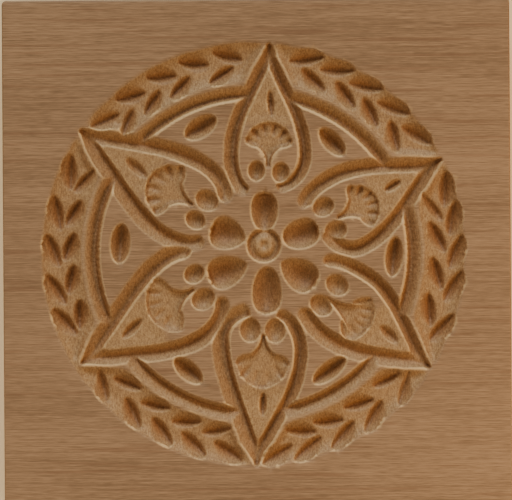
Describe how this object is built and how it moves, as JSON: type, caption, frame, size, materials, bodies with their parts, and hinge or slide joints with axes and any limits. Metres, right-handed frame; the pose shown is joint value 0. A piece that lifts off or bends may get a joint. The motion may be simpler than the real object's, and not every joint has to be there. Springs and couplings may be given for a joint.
{
  "type": "carved wooden biscuit mould",
  "caption": "Square wooden block with a hollow flower rosette carved into its face, for pressing a pattern into dough.",
  "frame": {"origin": "middle of the underside, on the surface that the board lies on", "axes": "+Z out of the carved face; +Y towards the petal nearest to a side's middle (the picture's top); +X to the picture's right"},
  "size_m": [0.1, 0.1, 0.018],
  "materials": {
    "carved_wood": "planed, unvarnished fruit wood, rubbed smooth by use"
  },
  "bodies": {
    "root": {"mould_board": "carved_wood"}
  },
  "joints": []
}
